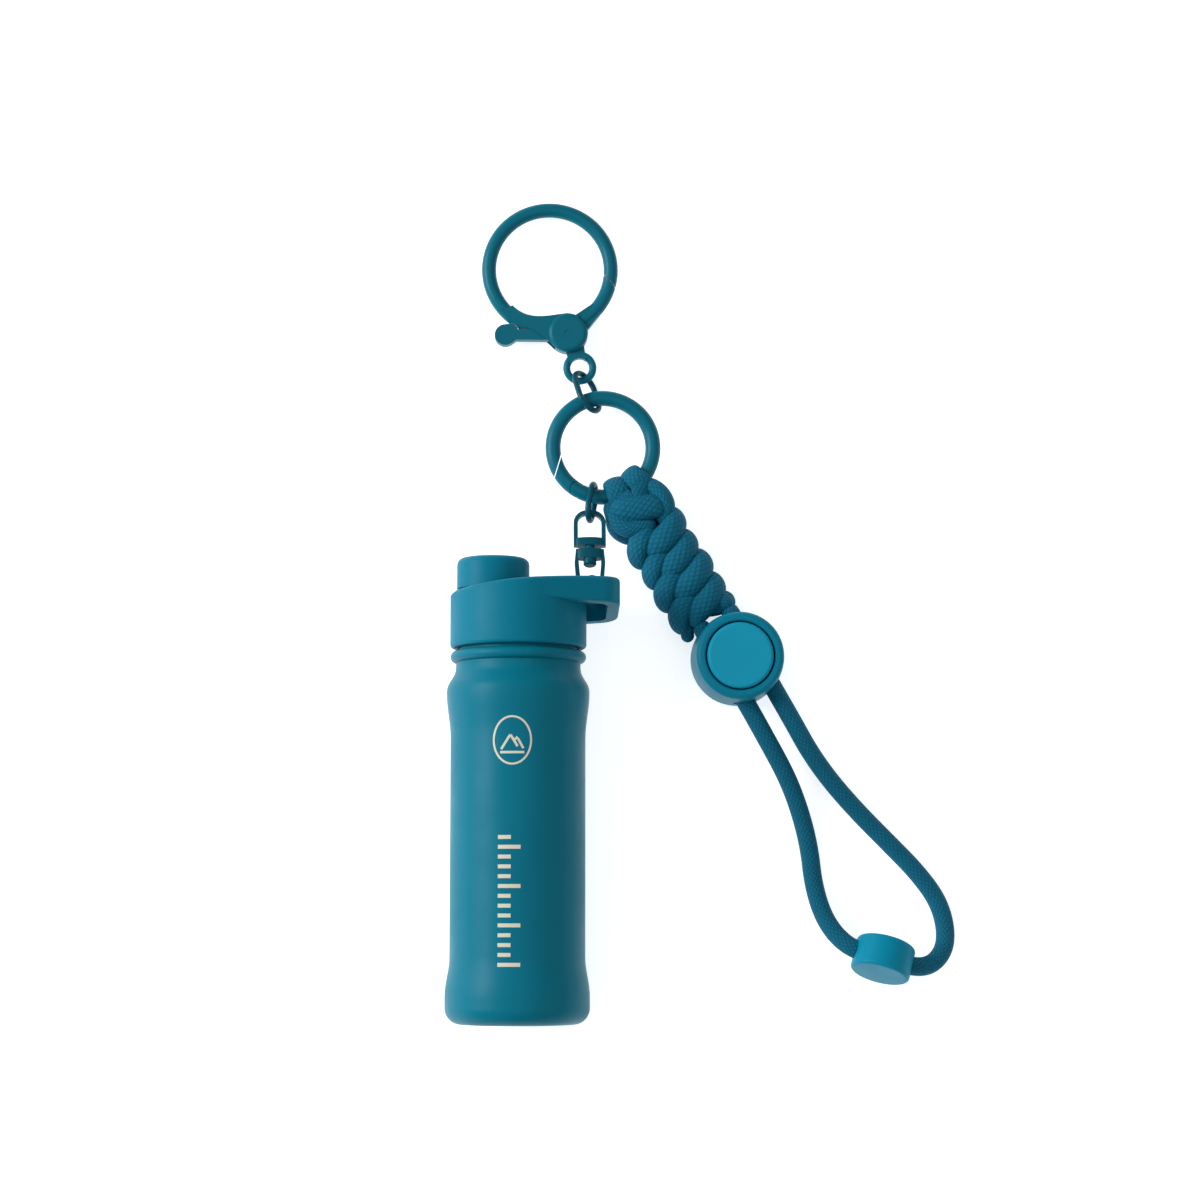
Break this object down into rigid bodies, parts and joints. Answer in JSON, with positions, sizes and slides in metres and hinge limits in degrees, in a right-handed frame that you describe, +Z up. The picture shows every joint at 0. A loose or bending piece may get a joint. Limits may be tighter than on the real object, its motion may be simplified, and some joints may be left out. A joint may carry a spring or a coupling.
{
  "type": "flask key charm",
  "caption": "Finger-sized screw-lid flask key charm with a spout cap, swivel, spring-gate ring, snap clasp and a plaited cord wrist loop with a push-button lock.",
  "frame": {"origin": "middle of the flask's foot, on the flask's axis", "axes": "+Y runs along the flask from its foot to its lid, +X points to the side the lid's carry loop is on, +Z is up from the table it lies on"},
  "size_m": [0.109, 0.1782, 0.0309],
  "materials": {
    "powder_coat": "satin",
    "lid_plastic": "satin",
    "silicone": "matt",
    "lacquered_metal": "gloss",
    "steel": "bright",
    "paracord": "woven",
    "lock_plastic": "satin",
    "joiner_plastic": "satin"
  },
  "bodies": {
    "flask": {"flask_body": "powder_coat"},
    "lid_lift": {"lid_gasket": "silicone"},
    "lid": {"lid_shell": "lid_plastic"},
    "cap_lift": {"spout_gasket": "silicone"},
    "cap": {"spout_cap": "lid_plastic"},
    "swivel_lower": {"swivel_lower_bow": "lacquered_metal"},
    "swivel_upper": {"swivel_upper_bow": "lacquered_metal", "swivel_rivet": "lacquered_metal"},
    "lower_link": {"lower_link": "lacquered_metal"},
    "ring": {"spring_ring_body": "lacquered_metal", "gate_pin": "steel", "gate_spring": "steel"},
    "gate": {"spring_ring_gate": "lacquered_metal"},
    "upper_link": {"upper_link": "lacquered_metal"},
    "clasp": {"clasp_body": "lacquered_metal", "clasp_rivet": "lacquered_metal", "clasp_spring": "steel"},
    "lever": {"clasp_lever": "lacquered_metal"},
    "lanyard": {"lanyard_weave": "paracord", "loop_cord": "paracord", "joiner_body": "joiner_plastic", "joiner_cap": "joiner_plastic"},
    "lock": {"lock_body": "lock_plastic", "lock_spring": "steel"},
    "button": {"lock_button": "lock_plastic"}
  },
  "joints": [
    {"name": "lid_lift", "type": "slide", "parent": "flask", "child": "lid_lift", "axis": [0, 1, 0], "range_m": [0, 0.009]},
    {"name": "lid_turn", "type": "hinge", "parent": "lid_lift", "child": "lid", "pos_m": [0, 0.08, 0], "axis": [0, 1, 0], "range_deg": [0, 1080]},
    {"name": "cap_lift", "type": "slide", "parent": "lid", "child": "cap_lift", "axis": [0, 1, 0], "range_m": [0, 0.0048]},
    {"name": "cap_turn", "type": "hinge", "parent": "cap_lift", "child": "cap", "pos_m": [-0.00536, 0.094, 0], "axis": [0, 1, 0], "range_deg": [0, 720]},
    {"name": "bow_swing", "type": "hinge", "parent": "lid", "child": "swivel_lower", "pos_m": [0.0153, 0.09175, -0.0039], "axis": [0, 0, 1], "range_deg": [-15, 30]},
    {"name": "swivel_spin", "type": "hinge", "parent": "swivel_lower", "child": "swivel_upper", "pos_m": [0.0153, 0.09175, -0.0039], "axis": [0, 0.9659, -0.2588], "range_deg": [-90, 90]},
    {"name": "lower_link_swing", "type": "hinge", "parent": "swivel_upper", "child": "lower_link", "pos_m": [0.0153, 0.1089, -0.00849], "axis": [1, 0, 0], "range_deg": [-40, 40]},
    {"name": "ring_swing", "type": "hinge", "parent": "lower_link", "child": "ring", "pos_m": [0.01613, 0.11297, -0.01087], "axis": [0.9798, -0.1999, 0], "range_deg": [-35, 35]},
    {"name": "gate_open", "type": "hinge", "parent": "ring", "child": "gate", "pos_m": [0.01287, 0.1142, -0.01087], "axis": [0, 0, 1], "range_deg": [-25, 0], "stiffness_Nm_per_rad": 0.01, "springref_deg": 34.38},
    {"name": "upper_link_swing", "type": "hinge", "parent": "ring", "child": "upper_link", "pos_m": [0.01538, 0.13405, -0.01087], "axis": [-0.9631, -0.269, 0], "range_deg": [-45, 45]},
    {"name": "clasp_swing", "type": "hinge", "parent": "upper_link", "child": "clasp", "pos_m": [0.01407, 0.13875, -0.01282], "axis": [1, 0, 0], "range_deg": [-30, 45]},
    {"name": "lever_open", "type": "hinge", "parent": "clasp", "child": "lever", "pos_m": [0.0107, 0.1488, -0.01282], "axis": [0, 0, 1], "range_deg": [0, 24], "stiffness_Nm_per_rad": 0.02, "springref_deg": -34.38},
    {"name": "lanyard_swing", "type": "hinge", "parent": "ring", "child": "lanyard", "pos_m": [0.02356, 0.11411, -0.01087], "axis": [0.8746, 0.4848, 0], "range_deg": [-12, 12]},
    {"name": "lock_slide", "type": "slide", "parent": "lanyard", "child": "lock", "axis": [0.5, -0.866, 0], "range_m": [0, 0.008]},
    {"name": "button_press", "type": "slide", "parent": "lock", "child": "button", "axis": [0, 0, -1], "range_m": [0, 0.002], "stiffness_N_per_m": 400, "springref_m": -0.003, "deforming": ["lock_spring"]}
  ],
  "couplings": [
    {"joint": "lid_turn", "follows": "lid_lift", "rad_per_m": 2094.4},
    {"joint": "cap_turn", "follows": "cap_lift", "rad_per_m": 2618}
  ]
}
